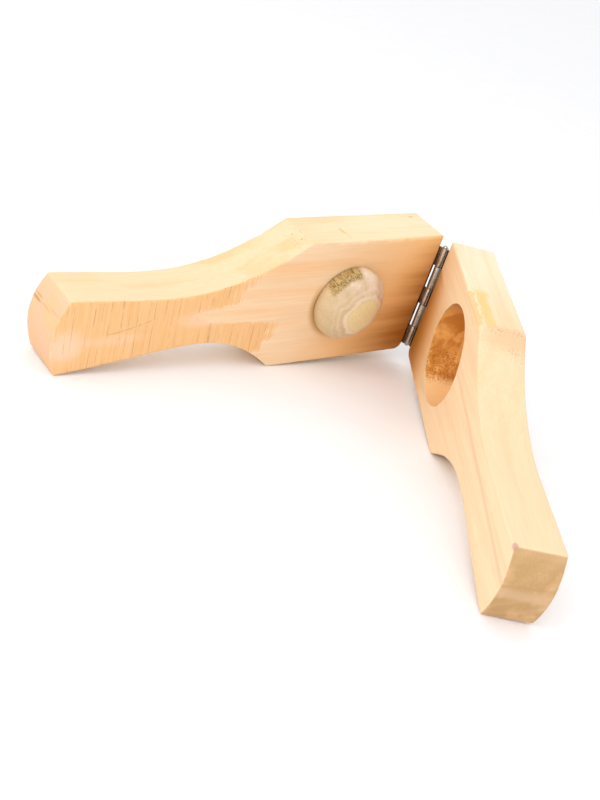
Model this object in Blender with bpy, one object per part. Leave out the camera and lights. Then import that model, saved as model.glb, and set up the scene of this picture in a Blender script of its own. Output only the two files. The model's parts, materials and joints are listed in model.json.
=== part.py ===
"""Hinged wooden nutcracker: two shaped arms on a butt hinge, one with a pressing knob and one with a cup.

Each arm is modelled in its own frame, on the hinge axis: x runs along the arm towards the handle,
z runs up the hinge axis and y runs across the thickness. The outer side is -y on the knob arm and
+y on the cup arm. The hinge axis is then leaned so that both arms stand on their lower corners.
"""

import math

import bmesh
import bpy
from mathutils import Matrix, Vector

# Pose at rest
OPENING = math.radians(58.0)  # angle between the two arms

# Arms. Lengths run from the head's hinged end, heights from the arm's middle line.
# The shoulder is where the handle's upper curve leaves the head, end_top the handle's upper end corner.
KNOB_ARM = {"length": 0.205, "thickness": 0.0237, "top": 0.0342, "shoulder": 0.083, "end_top": 0.0129}
CUP_ARM = {"length": 0.2038, "thickness": 0.0222, "top": 0.0335, "shoulder": 0.0796, "end_top": 0.0112}
HEAD_BOTTOM = 0.0341
LOWER_SHOULDER = 0.087
UPPER_SHOULDER_SLOPE = -0.73
LOWER_SHOULDER_SLOPE = 0.85
UPPER_WAIST = (0.1515, 0.0102)  # the thinnest part of the handle, seen from the side
LOWER_WAIST = (0.1325, -0.0158)
LOWER_WAIST_SLOPE = -0.05
END_TOP_SETBACK = 0.0057
END_TOP_SLOPE = 0.03
END_BOTTOM = -0.0237  # the handle end's lower corner
END_BOTTOM_SETBACK = 0.0041
END_BOTTOM_SLOPE = -0.08
END_CROWN_TOP = 0.68  # how steeply the rounded end leaves its two corners
END_CROWN_BOTTOM = -0.41
HEAD_CORNER_RADIUS = 0.0042  # the head's lower corner at the hinge
EDGE_ROUNDING = 0.0007
CURVE_STEPS = 12
CORNER_STEPS = 5

# Cup and knob
CUP_CENTRE = 0.0526
CUP_DROP = 0.0007  # the cup's centre below the middle line
CUP_RADIUS = 0.025
CUP_DEPTH = 0.015
CUP_DIMPLE_RADIUS = 0.0015  # left by the drill's centre point
CUP_DIMPLE_DEPTH = 0.001
KNOB_CLEARANCE = 0.0058  # between the knob and the cup's wall, all round
KNOB_SETBACK = 0.0016  # the knob's centre nearer the hinge than the cup's
KNOB_LIFT = 0.0017  # the knob's centre above the cup's
KNOB_EDGE = 0.003
KNOB_HEIGHT = 0.013
ROUND_STEPS = 64
DOME_STEPS = 10

# Butt hinge on the two head ends
HINGE_TOP_MARGIN = 0.0056  # from the lower of the two heads' tops
HINGE_BOTTOM_MARGIN = 0.0036
KNUCKLE_SHARES = (0.181, 0.219, 0.171, 0.229, 0.2)  # of the hinge's length, from the top, knob side first
BARREL_RADIUS = 0.00175
PIN_RADIUS = 0.0008
PIN_CLEARANCE = 0.00025
PIN_HEAD_RADIUS = 0.0013
PIN_HEAD_HEIGHT = 0.0006
LEAF_THICKNESS = 0.0008
LEAF_WIDTH = 0.018  # from the hinge axis to the leaf's outer edge
LEAF_CORNER_RADIUS = 0.0015
LEAF_BITE = 0.00015  # how far the leaf reaches into the barrel
INNER_FACE_OFFSET = 0.0012  # each inner face behind the hinge axis
BARREL_STEPS = 24

# Screws
HINGE_SCREW = {"head": 0.0027, "shank": 0.0013, "head_depth": 0.0016, "length": 0.013, "tip": 0.003}
KNOB_SCREW_COVER = 0.0037  # left of the knob past the screw's tip
KNOB_SCREW = {"head": 0.0042, "shank": 0.0021, "head_depth": 0.0026, "tip": 0.004}
HINGE_SCREW_SETBACKS = (0.0095, 0.013, 0.0095)  # from the hinge axis, top to bottom
HINGE_SCREW_END_MARGIN = 0.0075  # from the leaf's ends to the outer two screws
SCREW_STEPS = 20
RECESS_WIDTH = 0.28  # the cross recess, as shares of the head's radius
RECESS_REACH = 0.62
RECESS_DEPTH = 0.45  # as a share of the head's depth

# Clearance between two pieces that meet
GAP = 0.0003
CUTTER_OVERRUN = 0.002

KNOB_SIDE = -1  # which way y points out of each arm
CUP_SIDE = 1

HINGE_TOP = min(KNOB_ARM["top"], CUP_ARM["top"]) - HINGE_TOP_MARGIN
HINGE_BOTTOM = HINGE_BOTTOM_MARGIN - HEAD_BOTTOM
LEAF_FACE = BARREL_RADIUS - LEAF_BITE  # hinge axis to the leaf's outer face
HEAD_END = LEAF_FACE + LEAF_THICKNESS + GAP  # hinge axis to the wood
SWEEP_RADIUS = LEAF_FACE + LEAF_THICKNESS  # the space a knuckle needs as it turns


def clear_scene():
    for obj in list(bpy.data.objects):
        bpy.data.objects.remove(obj, do_unlink=True)


# Materials


def material(name, colour, roughness, metallic=0.0):
    made = bpy.data.materials.new(name)
    made.use_nodes = True
    shader = made.node_tree.nodes["Principled BSDF"]
    shader.inputs["Base Color"].default_value = (*colour, 1.0)
    shader.inputs["Roughness"].default_value = roughness
    shader.inputs["Metallic"].default_value = metallic
    return made


def arm_wood():
    return material("arm_wood", (0.80, 0.53, 0.29), 0.6)


def knob_wood():
    return material("knob_wood", (0.52, 0.40, 0.24), 0.4)


def hinge_steel():
    return material("hinge_steel", (0.55, 0.55, 0.54), 0.35, 1.0)


def screw_steel():
    return material("screw_steel", (0.62, 0.58, 0.48), 0.35, 1.0)


# Building blocks


def finish_mesh(name, bm, finish=None):
    """Makes an object of a bmesh, with its normals outwards and its round sides shaded smooth."""
    bmesh.ops.remove_doubles(bm, verts=bm.verts, dist=1e-6)
    bmesh.ops.recalc_face_normals(bm, faces=bm.faces)
    mesh = bpy.data.meshes.new(name)
    bm.to_mesh(mesh)
    bm.free()
    mesh.shade_smooth()
    mesh.set_sharp_from_angle(angle=math.radians(30))
    obj = bpy.data.objects.new(name, mesh)
    bpy.context.scene.collection.objects.link(obj)
    if finish:
        mesh.materials.append(finish)
    return obj


def empty(name, parent=None):
    made = bpy.data.objects.new(name, None)
    bpy.context.scene.collection.objects.link(made)
    made.parent = parent
    return made


def facing(direction, at):
    """The placement that turns a shape's own +z to a direction, with its origin at a point."""
    turn = Vector(direction).to_track_quat("Z", "Y").to_matrix().to_4x4()
    return Matrix.Translation(at) @ turn


def place(obj, parent, placement):
    obj.parent = parent
    obj.matrix_local = placement
    return obj


def extruded(name, outline, low, high, finish=None):
    """A closed (x, z) outline extruded across y, from low to high."""
    bm = bmesh.new()
    face = bm.faces.new([bm.verts.new((x, low, z)) for x, z in outline])
    side = bmesh.ops.extrude_face_region(bm, geom=[face])["geom"]
    moved = [item for item in side if isinstance(item, bmesh.types.BMVert)]
    bmesh.ops.translate(bm, verts=moved, vec=(0, high - low, 0))
    return finish_mesh(name, bm, finish)


def turned(name, profile, steps, finish=None):
    """A profile of (radius, height) points turned once round z. Its two ends lie on the axis."""
    bm = bmesh.new()
    verts = [bm.verts.new((radius, 0, height)) for radius, height in profile]
    edges = [bm.edges.new(pair) for pair in zip(verts, verts[1:])]
    bmesh.ops.spin(
        bm,
        geom=verts + edges,
        cent=(0, 0, 0),
        axis=(0, 0, 1),
        angle=2 * math.pi,
        steps=steps,
        use_merge=True,
    )
    return finish_mesh(name, bm, finish)


def box(name, low, high, finish=None):
    bm = bmesh.new()
    centre = (Vector(low) + Vector(high)) / 2
    size = Vector(high) - Vector(low)
    placement = Matrix.Translation(centre) @ Matrix.Diagonal(size).to_4x4()
    bmesh.ops.create_cube(bm, size=1, matrix=placement)
    return finish_mesh(name, bm, finish)


def boolean(obj, other, operation):
    """Cuts or joins another object, which then stays out of the model."""
    modifier = obj.modifiers.new(other.name, "BOOLEAN")
    modifier.operation = operation
    modifier.object = other
    other.hide_render = True
    other.display_type = "WIRE"


def round_edges(obj, width, segments):
    modifier = obj.modifiers.new("rounding", "BEVEL")
    modifier.width = width
    modifier.segments = segments
    modifier.limit_method = "ANGLE"
    modifier.angle_limit = math.radians(30)


def cubic(start, start_slope, end, end_slope):
    """Points after the start, up to the end, of the curve with these slopes at its two ends."""
    (x0, z0), (x1, z1) = start, end
    span = x1 - x0
    points = []
    for step in range(1, CURVE_STEPS + 1):
        t = step / CURVE_STEPS
        level = z0 + (z1 - z0) * t * t * (3 - 2 * t)
        lean = span * t * (1 - t) * (start_slope * (1 - t) - end_slope * t)
        points.append((x0 + span * t, level + lean))
    return points


# Arms


def arm_outline(size):
    """The arm's side view as (x, z) points, from the head's upper corner at the hinge."""
    shoulder = (size["shoulder"], size["top"])
    end_top = (size["length"] - END_TOP_SETBACK, size["end_top"])
    end_bottom = (size["length"] - END_BOTTOM_SETBACK, END_BOTTOM)
    points = [(0, size["top"]), shoulder]
    points += cubic(shoulder, UPPER_SHOULDER_SLOPE, UPPER_WAIST, 0)
    points += cubic(UPPER_WAIST, 0, end_top, END_TOP_SLOPE)
    # The rounded end is the same curve with its two axes swapped.
    crown = cubic(end_top[::-1], -END_CROWN_TOP, end_bottom[::-1], -END_CROWN_BOTTOM)
    points += [(x, z) for z, x in crown]
    points += cubic(end_bottom, END_BOTTOM_SLOPE, LOWER_WAIST, LOWER_WAIST_SLOPE)
    lower_shoulder = (LOWER_SHOULDER, -HEAD_BOTTOM)
    points += cubic(LOWER_WAIST, LOWER_WAIST_SLOPE, lower_shoulder, LOWER_SHOULDER_SLOPE)
    for step in range(CORNER_STEPS + 1):
        angle = math.pi / 2 * step / CORNER_STEPS
        x = HEAD_CORNER_RADIUS * (1 - math.sin(angle))
        z = HEAD_CORNER_RADIUS * (1 - math.cos(angle)) - HEAD_BOTTOM
        points.append((x, z))
    return [(HEAD_END + x, z) for x, z in points]


def arm_blank(name, side, size):
    near = side * INNER_FACE_OFFSET
    far = side * (INNER_FACE_OFFSET + size["thickness"])
    arm = extruded(name, arm_outline(size), min(near, far), max(near, far), arm_wood())
    round_edges(arm, EDGE_ROUNDING, 2)
    return arm


def cup_cutter():
    """The drilled cup, from outside the inner face down to its floor and the centre dimple."""
    return turned(
        "cup_cutter",
        [
            (0, -CUTTER_OVERRUN),
            (CUP_RADIUS, -CUTTER_OVERRUN),
            (CUP_RADIUS, CUP_DEPTH),
            (CUP_DIMPLE_RADIUS, CUP_DEPTH),
            (0, CUP_DEPTH + CUP_DIMPLE_DEPTH),
        ],
        ROUND_STEPS,
    )


# Screws


def screw_profile(size, grown=0.0):
    """A countersunk wood screw, from its head's face down. A grown one is the hole it needs."""
    head, shank = size["head"] + grown, size["shank"] + grown
    cone_end = size["head_depth"] + grown
    length = size["length"] + grown
    start = -CUTTER_OVERRUN if grown else 0
    profile = [(0, start), (head, start)]
    if grown:
        profile.append((head, 0))
    return profile + [(shank, cone_end), (shank, length - size["tip"]), (0, length)]


def recess_cutter(name, size):
    """The cross recess in a screw's head."""
    wide = size["head"] * RECESS_WIDTH / 2
    reach = size["head"] * RECESS_REACH
    corners = [(wide, reach), (wide, wide), (reach, wide)]
    outline = []
    for quarter in range(4):
        turn = Matrix.Rotation(-quarter * math.pi / 2, 2)
        outline += [tuple(turn @ Vector(corner)) for corner in corners]
    cutter = extruded(name, outline, -size["head_depth"] * RECESS_DEPTH, CUTTER_OVERRUN)
    cutter.data.transform(Matrix.Rotation(-math.pi / 2, 4, "X"))
    return cutter


def screw(name, size, side_empty, at, direction):
    made = turned(name, screw_profile(size), SCREW_STEPS, screw_steel())
    placement = facing(direction, at)
    place(made, side_empty, placement)
    recess = recess_cutter(name + "_recess", size)
    place(recess, side_empty, placement)
    boolean(made, recess, "DIFFERENCE")
    return made


def screw_hole(name, size, side_empty, at, direction):
    cutter = turned(name, screw_profile(size, GAP), SCREW_STEPS)
    return place(cutter, side_empty, facing(direction, at))


# Hinge


def knuckle_spans():
    """Each knuckle's lower and upper height on the hinge axis, from the top one down."""
    spans = []
    top = HINGE_TOP
    for share in KNUCKLE_SHARES:
        bottom = top - share * (HINGE_TOP - HINGE_BOTTOM)
        spans.append((bottom, top))
        top = bottom
    return spans


def hinge_screw_places(side):
    """Where the leaf's screws stand: the centres of their head faces, top to bottom."""
    upper = HINGE_TOP - HINGE_SCREW_END_MARGIN
    lower = HINGE_BOTTOM + HINGE_SCREW_END_MARGIN
    heights = (upper, (upper + lower) / 2, lower)
    return [
        Vector((LEAF_FACE, side * setback, height))
        for setback, height in zip(HINGE_SCREW_SETBACKS, heights)
    ]


def leaf_plate(name, side):
    """The flat plate, from the barrel out across the head's end, with its outer corners rounded."""
    edge = side * LEAF_WIDTH
    plate = box(
        name,
        (LEAF_FACE, min(0, edge), HINGE_BOTTOM),
        (LEAF_FACE + LEAF_THICKNESS, max(0, edge), HINGE_TOP),
        hinge_steel(),
    )
    bm = bmesh.new()
    bm.from_mesh(plate.data)
    corners = [e for e in bm.edges if all(abs(v.co.y - edge) < GAP for v in e.verts)]
    corners = [e for e in corners if abs(e.verts[0].co.z - e.verts[1].co.z) < GAP]
    bmesh.ops.bevel(
        bm, geom=corners, offset=LEAF_CORNER_RADIUS, segments=3, affect="EDGES", profile=0.5
    )
    bm.to_mesh(plate.data)
    bm.free()
    return plate


def hinge_rod(name, radius, overrun=0.0):
    """A round bar along the whole hinge."""
    low, high = HINGE_BOTTOM - overrun, HINGE_TOP + overrun
    return turned(name, [(0, low), (radius, low), (radius, high), (0, high)], BARREL_STEPS)


def hinge_leaf(name, side, side_empty, own_knuckles):
    leaf = place(leaf_plate(name, side), side_empty, Matrix.Identity(4))
    barrel = place(hinge_rod(name + "_barrel", BARREL_RADIUS), side_empty, Matrix.Identity(4))
    boolean(leaf, barrel, "UNION")
    last = len(KNUCKLE_SHARES) - 1
    for number, (low, high) in enumerate(knuckle_spans()):
        if number in own_knuckles:
            continue
        reach = SWEEP_RADIUS + GAP
        low -= CUTTER_OVERRUN if number == last else GAP / 2
        high += CUTTER_OVERRUN if number == 0 else GAP / 2
        notch = box(f"{name}_notch_{number}", (-reach, -reach, low), (reach + GAP, reach, high))
        boolean(leaf, place(notch, side_empty, Matrix.Identity(4)), "DIFFERENCE")
    bore = hinge_rod(name + "_bore", PIN_RADIUS + PIN_CLEARANCE, CUTTER_OVERRUN)
    boolean(leaf, place(bore, side_empty, Matrix.Identity(4)), "DIFFERENCE")
    return leaf


def hinge_pin(side_empty):
    """The pin, with a small peened head past each end of the barrel."""
    low, high = HINGE_BOTTOM - GAP, HINGE_TOP + GAP
    profile = [
        (0, low - PIN_HEAD_HEIGHT),
        (PIN_RADIUS, low - PIN_HEAD_HEIGHT),
        (PIN_HEAD_RADIUS, low),
        (PIN_RADIUS, low),
        (PIN_RADIUS, high),
        (PIN_HEAD_RADIUS, high),
        (PIN_RADIUS, high + PIN_HEAD_HEIGHT),
        (0, high + PIN_HEAD_HEIGHT),
    ]
    pin = turned("hinge_pin", profile, BARREL_STEPS, hinge_steel())
    return place(pin, side_empty, Matrix.Identity(4))


def hinge_screws(side_name, side, side_empty, arm, leaf):
    for number, at in enumerate(hinge_screw_places(side), start=1):
        name = f"{side_name}_hinge_screw_{number}"
        screw(name, HINGE_SCREW, side_empty, at, (1, 0, 0))
        hole = screw_hole(name + "_hole", HINGE_SCREW, side_empty, at, (1, 0, 0))
        boolean(arm, hole, "DIFFERENCE")
        boolean(leaf, hole, "DIFFERENCE")


# The two sides


def knob_profile():
    """The turned knob: a short straight edge and a dome, from its flat base up."""
    radius = CUP_RADIUS - KNOB_CLEARANCE
    rise = KNOB_HEIGHT - KNOB_EDGE
    profile = [(0, GAP), (radius, GAP)]
    for step in range(DOME_STEPS):
        angle = math.pi / 2 * step / DOME_STEPS
        profile.append((radius * math.cos(angle), KNOB_EDGE + rise * math.sin(angle)))
    return profile + [(0, KNOB_HEIGHT)]


def knob_side(side_empty):
    arm = arm_blank("knob_arm", KNOB_SIDE, KNOB_ARM)
    place(arm, side_empty, Matrix.Identity(4))
    leaf = hinge_leaf("hinge_leaf_knob_side", KNOB_SIDE, side_empty, (0, 2, 4))
    hinge_screws("knob_side", KNOB_SIDE, side_empty, arm, leaf)

    inward = (0, -KNOB_SIDE, 0)
    along = HEAD_END + CUP_CENTRE - KNOB_SETBACK
    base = Vector((along, KNOB_SIDE * INNER_FACE_OFFSET, KNOB_LIFT - CUP_DROP))
    knob = turned("knob", knob_profile(), ROUND_STEPS, knob_wood())
    place(knob, side_empty, facing(inward, base))
    head = base + Vector((0, KNOB_SIDE * KNOB_ARM["thickness"], 0))
    size = dict(KNOB_SCREW, length=KNOB_ARM["thickness"] + KNOB_HEIGHT - KNOB_SCREW_COVER)
    screw("knob_screw", size, side_empty, head, inward)
    hole = screw_hole("knob_screw_hole", size, side_empty, head, inward)
    boolean(arm, hole, "DIFFERENCE")
    boolean(knob, hole, "DIFFERENCE")


def cup_side(side_empty):
    arm = arm_blank("cup_arm", CUP_SIDE, CUP_ARM)
    place(arm, side_empty, Matrix.Identity(4))
    leaf = hinge_leaf("hinge_leaf_cup_side", CUP_SIDE, side_empty, (1, 3))
    hinge_screws("cup_side", CUP_SIDE, side_empty, arm, leaf)
    hinge_pin(side_empty)

    mouth = Vector((HEAD_END + CUP_CENTRE, CUP_SIDE * INNER_FACE_OFFSET, -CUP_DROP))
    cutter = cup_cutter()
    place(cutter, side_empty, facing((0, CUP_SIDE, 0), mouth))
    boolean(arm, cutter, "DIFFERENCE")


def standing_lean():
    """How far the hinge axis leans over the open side when the arms stand on their lower corners."""
    rise = HEAD_BOTTOM + END_BOTTOM
    run = (KNOB_ARM["length"] - END_BOTTOM_SETBACK - LOWER_SHOULDER) * math.cos(OPENING / 2)
    return math.atan2(rise, run)


def stand_on_ground(axis_empty):
    """Moves the whole object so that its box stands on z = 0, centred on the origin."""
    bpy.context.view_layer.update()
    graph = bpy.context.evaluated_depsgraph_get()
    points = []
    for obj in bpy.data.objects:
        if obj.type == "MESH" and not obj.hide_render:
            shown = obj.evaluated_get(graph)
            points += [shown.matrix_world @ vert.co for vert in shown.data.vertices]
    low = Vector([min(point[axis] for point in points) for axis in range(3)])
    high = Vector([max(point[axis] for point in points) for axis in range(3)])
    centre = (low + high) / 2
    axis_empty.location -= Vector((centre.x, centre.y, low.z))


def build():
    clear_scene()
    axis_empty = empty("hinge_axis")
    axis_empty.rotation_euler = (standing_lean(), 0, 0)
    knob_empty = empty("knob_side", axis_empty)
    knob_empty.rotation_euler = (0, 0, -math.pi / 2 - OPENING / 2)
    cup_empty = empty("cup_side", axis_empty)
    cup_empty.rotation_euler = (0, 0, -math.pi / 2 + OPENING / 2)
    knob_side(knob_empty)
    cup_side(cup_empty)
    stand_on_ground(axis_empty)


build()
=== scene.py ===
import json
import math

import bmesh
import bpy
from mathutils import Matrix, Vector, noise


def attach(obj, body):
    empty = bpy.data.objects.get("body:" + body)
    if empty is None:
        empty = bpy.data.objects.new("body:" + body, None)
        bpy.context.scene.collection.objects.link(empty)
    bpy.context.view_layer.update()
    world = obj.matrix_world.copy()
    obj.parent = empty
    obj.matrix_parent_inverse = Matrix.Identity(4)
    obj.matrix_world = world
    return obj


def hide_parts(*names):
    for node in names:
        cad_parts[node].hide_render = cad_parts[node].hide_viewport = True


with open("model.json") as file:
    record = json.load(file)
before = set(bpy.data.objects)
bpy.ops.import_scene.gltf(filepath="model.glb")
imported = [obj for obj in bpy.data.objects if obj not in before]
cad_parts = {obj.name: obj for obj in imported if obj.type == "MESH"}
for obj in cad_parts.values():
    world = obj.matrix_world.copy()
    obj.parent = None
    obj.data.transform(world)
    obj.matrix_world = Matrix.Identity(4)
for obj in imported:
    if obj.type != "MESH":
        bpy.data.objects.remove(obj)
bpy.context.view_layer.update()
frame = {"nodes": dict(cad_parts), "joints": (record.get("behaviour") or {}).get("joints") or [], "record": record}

print("frame loaded")

# Each arm has its own frame on the hinge axis: x along the arm to the handle, z up the axis, y across it.
# The knob arm's outer side is -y, and the cup arm's is +y.
hinge = frame["joints"][0]
hingePoint = Vector(hinge["pos_m"])
hingeUp = -Vector(hinge["axis"])
outward = {mount["name"]: Vector(mount["axis"]) for mount in frame["record"]["mounts"]}


def armPlace(outerFace, side):
    across = outward[outerFace] * side
    place = Matrix((across.cross(hingeUp), across, hingeUp)).transposed().to_4x4()
    place.translation = hingePoint
    return place


knobPlace = armPlace("knob_arm_outer_face", -1)
cupPlace = armPlace("cup_arm_outer_face", 1)
innerFace = 0.0012  # from the hinge axis to each arm's inner face
millimetres = 1000  # patterns are worked out in millimetres


# Node helpers


def addNode(tree, kind, inputs=None, **settings):
    node = tree.nodes.new(kind)
    for name, value in settings.items():
        setattr(node, name, value)
    for key, value in (inputs or {}).items():
        if isinstance(value, bpy.types.NodeSocket):
            tree.links.new(value, node.inputs[key])
        else:
            node.inputs[key].default_value = value
    return node


def calc(tree, operation, first, second=0.0):
    return addNode(tree, "ShaderNodeMath", {0: first, 1: second}, operation=operation).outputs[0]


def times(tree, first, *others):
    for other in others:
        first = calc(tree, "MULTIPLY", first, other)
    return first


def plus(tree, first, *others):
    for other in others:
        first = calc(tree, "ADD", first, other)
    return first


def offFrom(tree, value, middle):
    # how far a value is from a middle one, on either side
    return calc(tree, "ABSOLUTE", calc(tree, "SUBTRACT", value, middle))


def fade(tree, value, low, high, fromLow=0.0, fromHigh=1.0):
    # smooth change from fromLow to fromHigh as the value goes from low to high
    inputs = {"Value": value, "From Min": low, "From Max": high, "To Min": fromLow, "To Max": fromHigh}
    return addNode(tree, "ShaderNodeMapRange", inputs, interpolation_type="SMOOTHSTEP").outputs["Result"]


def tint(tree, amount, under, over, mode="MIX"):
    inputs = {"Factor": amount, "A": under, "B": over}
    node = addNode(tree, "ShaderNodeMix", data_type="RGBA", blend_type=mode)
    for key, value in inputs.items():
        socket = next(s for s in node.inputs if s.name == key and s.type in ("VALUE", "RGBA") and s.enabled)
        if isinstance(value, bpy.types.NodeSocket):
            tree.links.new(value, socket)
        elif key == "Factor":
            socket.default_value = value
        else:
            socket.default_value = (*value, 1.0)
    return next(s for s in node.outputs if s.enabled)


def layer(tree, under, over, *masks):
    # lays a colour over another, as strongly as the masks and amounts allow
    return tint(tree, times(tree, *masks), under, over)


def cloud(tree, vector, scale, detail=3.0, roughness=0.5, distortion=0.0):
    inputs = {"Vector": vector, "Scale": scale, "Detail": detail, "Roughness": roughness}
    inputs["Distortion"] = distortion
    return addNode(tree, "ShaderNodeTexNoise", inputs).outputs["Fac"]


def stretched(tree, vector, factors):
    node = addNode(tree, "ShaderNodeVectorMath", {0: vector, 1: factors}, operation="MULTIPLY")
    return node.outputs["Vector"]


def shifted(tree, vector, centre):
    node = addNode(tree, "ShaderNodeVectorMath", {0: vector, 1: centre}, operation="SUBTRACT")
    return node.outputs["Vector"]


def lengthOf(tree, vector):
    return addNode(tree, "ShaderNodeVectorMath", {0: vector}, operation="LENGTH").outputs["Value"]


def split(tree, vector):
    return addNode(tree, "ShaderNodeSeparateXYZ", {0: vector}).outputs


def joined(tree, **parts):
    return addNode(tree, "ShaderNodeCombineXYZ", parts).outputs["Vector"]


def darkened(tree, colour, share):
    grey = addNode(tree, "ShaderNodeCombineColor", {0: share, 1: share, 2: share}).outputs[0]
    return tint(tree, 1.0, colour, grey, "MULTIPLY")


def acrossFace(tree, vector, centre, shift=(0.0, 0.0)):
    # the way from a point on an arm's broad face, without the depth
    point = (centre[0] * millimetres + shift[0], 0.0, centre[1] * millimetres + shift[1])
    return stretched(tree, shifted(tree, vector, point), (1.0, 0.0, 1.0))


def newGroup(name, inputs, outputs):
    tree = bpy.data.node_groups.new(name, "ShaderNodeTree")
    for label, kind, value in inputs:
        socket = tree.interface.new_socket(name=label, in_out="INPUT", socket_type=kind)
        if value is not None:
            socket.default_value = value
    for label, kind in outputs:
        tree.interface.new_socket(name=label, in_out="OUTPUT", socket_type=kind)
    return tree, tree.nodes.new("NodeGroupInput").outputs, tree.nodes.new("NodeGroupOutput").inputs


def useGroup(tree, group, **values):
    node = tree.nodes.new("ShaderNodeGroup")
    node.node_tree = group
    for label, value in values.items():
        if isinstance(value, bpy.types.NodeSocket):
            tree.links.new(value, node.inputs[label])
        else:
            node.inputs[label].default_value = value
    return node.outputs


# Shared wood effects, all on a vector in millimetres


def makeGrain():
    # growth rings round a far pith, fine fibres and broad streaks, all drawn out along x
    ins = [
        ("Vector", "NodeSocketVector", None),
        ("Pith", "NodeSocketVector", (0.0, -60.0, 70.0)),
        ("Pitch", "NodeSocketFloat", 3.0),
        ("Bend", "NodeSocketFloat", 14.0),
        ("Sharpness", "NodeSocketFloat", 2.2),
    ]
    outs = [("Rings", "NodeSocketFloat"), ("Fibres", "NodeSocketFloat"), ("Streaks", "NodeSocketFloat")]
    tree, given, result = newGroup("woodGrain", ins, outs)
    vector = given["Vector"]
    bend = cloud(tree, stretched(tree, vector, (0.008, 0.03, 0.03)), 1.0, 2.0)
    reach = lengthOf(tree, stretched(tree, shifted(tree, vector, given["Pith"]), (0.02, 1.0, 1.0)))
    reach = plus(tree, reach, times(tree, bend, given["Bend"]))
    phase = times(tree, calc(tree, "DIVIDE", reach, given["Pitch"]), 2 * math.pi)
    wave = plus(tree, times(tree, calc(tree, "SINE", phase), 0.5), 0.5)
    tree.links.new(calc(tree, "POWER", wave, given["Sharpness"]), result["Rings"])
    fibres = cloud(tree, stretched(tree, vector, (0.04, 1.15, 1.15)), 1.0, 4.0, 0.6)
    tree.links.new(fibres, result["Fibres"])
    streaks = cloud(tree, stretched(tree, vector, (0.007, 0.11, 0.11)), 1.0, 3.0, 0.55)
    tree.links.new(streaks, result["Streaks"])
    return tree


def makePatch():
    # a soft spot of a given size with a ragged edge
    ins = [
        ("Vector", "NodeSocketVector", None),
        ("Centre", "NodeSocketVector", (0.0, 0.0, 0.0)),
        ("Size", "NodeSocketVector", (1.0, 1.0, 1.0)),
        ("Soft", "NodeSocketFloat", 0.3),
        ("Ragged", "NodeSocketFloat", 0.2),
    ]
    tree, given, result = newGroup("patchMask", ins, [("Mask", "NodeSocketFloat")])
    away = shifted(tree, given["Vector"], given["Centre"])
    shares = addNode(tree, "ShaderNodeVectorMath", {0: away, 1: given["Size"]}, operation="DIVIDE")
    rag = calc(tree, "SUBTRACT", cloud(tree, given["Vector"], 0.9, 4.0, 0.6), 0.5)
    ragged = plus(tree, lengthOf(tree, shares.outputs["Vector"]), times(tree, rag, given["Ragged"]))
    inner = calc(tree, "SUBTRACT", 1.0, given["Soft"])
    outer = calc(tree, "ADD", 1.0, given["Soft"])
    tree.links.new(fade(tree, ragged, inner, outer, 1.0, 0.0), result["Mask"])
    return tree


def makeSawMarks():
    # marks left across the grain by a coarse saw: broad light and dark lanes, and thin broken cuts
    ins = [
        ("Vector", "NodeSocketVector", None),
        ("Slant", "NodeSocketFloat", 0.055),
        ("Lane", "NodeSocketFloat", 1.05),
        ("Spacing", "NodeSocketFloat", 4.2),
        ("Uneven", "NodeSocketFloat", 2.6),
    ]
    outs = [("Lanes", "NodeSocketFloat"), ("Cuts", "NodeSocketFloat")]
    tree, given, result = newGroup("sawMarks", ins, outs)
    parts = split(tree, given["Vector"])
    along = calc(tree, "SUBTRACT", parts["X"], times(tree, parts["Z"], given["Slant"]))

    def lane(width, start, wander):
        across = plus(tree, calc(tree, "DIVIDE", along, width), start)
        return joined(tree, X=across, Z=times(tree, parts["Z"], wander))

    tree.links.new(cloud(tree, lane(given["Lane"], 0.0, 0.035), 1.0, 2.0, 0.6), result["Lanes"])
    uneven = cloud(tree, lane(given["Spacing"], 31.0, 0.012), 0.45, 1.0)
    count = plus(tree, calc(tree, "DIVIDE", along, given["Spacing"]), times(tree, uneven, given["Uneven"]))
    line = fade(tree, offFrom(tree, calc(tree, "FRACT", count), 0.5), 0.02, 0.06, 1.0, 0.0)
    # each cut is broken in its own places
    own = times(tree, calc(tree, "FLOOR", count), 7.3)
    breaks = cloud(tree, joined(tree, X=own, Z=times(tree, parts["Z"], 0.11)), 1.0, 2.0)
    tree.links.new(times(tree, line, fade(tree, breaks, 0.44, 0.60)), result["Cuts"])
    return tree


woodGrain = makeGrain()
patchMask = makePatch()
sawMarks = makeSawMarks()
print("shared effects made")


def newMaterial(name):
    made = bpy.data.materials.new(name)
    made.use_nodes = True
    return made, made.node_tree, made.node_tree.nodes["Principled BSDF"]


def armSpot(tree, place):
    # the point in the arm's own frame, in millimetres
    turn = place.inverted()
    spot = addNode(tree, "ShaderNodeMapping", vector_type="POINT")
    tree.links.new(addNode(tree, "ShaderNodeTexCoord").outputs["Object"], spot.inputs["Vector"])
    spot.inputs["Location"].default_value = turn.translation * millimetres
    spot.inputs["Rotation"].default_value = turn.to_euler()
    spot.inputs["Scale"].default_value = (millimetres, millimetres, millimetres)
    return spot.outputs["Vector"]


def armFacing(tree, place):
    # the surface's direction in the arm's own frame
    facing = addNode(tree, "ShaderNodeMapping", vector_type="VECTOR")
    tree.links.new(addNode(tree, "ShaderNodeTexCoord").outputs["Normal"], facing.inputs["Vector"])
    facing.inputs["Rotation"].default_value = place.inverted().to_euler()
    return facing.outputs["Vector"]


def spotOn(tree, vector, centre, size, soft=0.3, ragged=0.3):
    values = {"Vector": vector, "Centre": centre, "Size": size, "Soft": soft, "Ragged": ragged}
    return useGroup(tree, patchMask, **values)["Mask"]


def painted(tree, name):
    return addNode(tree, "ShaderNodeAttribute", attribute_name=name).outputs["Fac"]


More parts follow.
